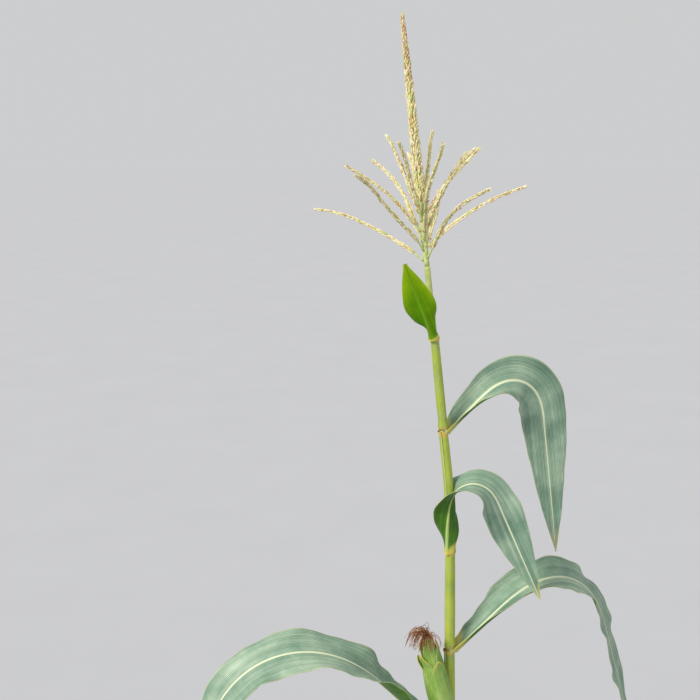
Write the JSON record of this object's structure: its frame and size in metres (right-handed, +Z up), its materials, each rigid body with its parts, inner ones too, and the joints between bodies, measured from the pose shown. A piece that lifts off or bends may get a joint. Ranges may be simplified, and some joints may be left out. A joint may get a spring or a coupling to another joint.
{
  "type": "maize plant",
  "caption": "Flowering maize plant: a leaning jointed stalk on brace roots, arched leaves on clasping sheaths, an ear with silk in one axil and a branched tassel at the top.",
  "frame": {"origin": "centre of the flat cut under the stalk, at ground level", "axes": "+Z straight up; +X to the right in the picture, so that the stalk leans towards -X; +Y away from the picture's camera"},
  "size_m": [0.865, 0.4587, 1.85],
  "materials": {
    "stalk": "satin, waxy",
    "leaf": "matt, waxy bloom",
    "dry_leaf": "matt, dry",
    "tassel": "matt",
    "husk": "satin, ribbed",
    "silk": "dry strands"
  },
  "bodies": {
    "root": {"ear_husk": "husk", "ear_silk": "silk", "leaf_1": "dry_leaf", "leaf_1_sheath": "dry_leaf", "leaf_2": "leaf", "leaf_2_sheath": "leaf", "leaf_2_tip": "leaf", "leaf_3": "leaf", "leaf_3_sheath": "leaf", "leaf_3_tip": "leaf", "leaf_4": "leaf", "leaf_4_sheath": "leaf", "leaf_4_tip": "leaf", "leaf_5": "leaf", "leaf_5_sheath": "leaf", "leaf_5_tip": "leaf", "leaf_6": "leaf", "leaf_6_sheath": "leaf", "leaf_6_tip": "leaf", "leaf_7": "leaf", "leaf_7_sheath": "leaf", "leaf_7_tip": "leaf", "leaf_8": "leaf", "leaf_8_sheath": "leaf", "leaf_8_tip": "leaf", "leaf_9": "leaf", "leaf_9_sheath": "leaf", "stalk": "stalk", "tassel_branch_01": "tassel", "tassel_branch_02": "tassel", "tassel_branch_03": "tassel", "tassel_branch_04": "tassel", "tassel_branch_05": "tassel", "tassel_branch_06": "tassel", "tassel_branch_07": "tassel", "tassel_branch_08": "tassel", "tassel_branch_09": "tassel", "tassel_branch_10": "tassel", "tassel_branch_11": "tassel", "tassel_branch_12": "tassel", "tassel_branch_13": "tassel", "tassel_branch_14": "tassel", "tassel_branch_15": "tassel", "tassel_branch_16": "tassel", "tassel_spike": "tassel"}
  },
  "joints": []
}
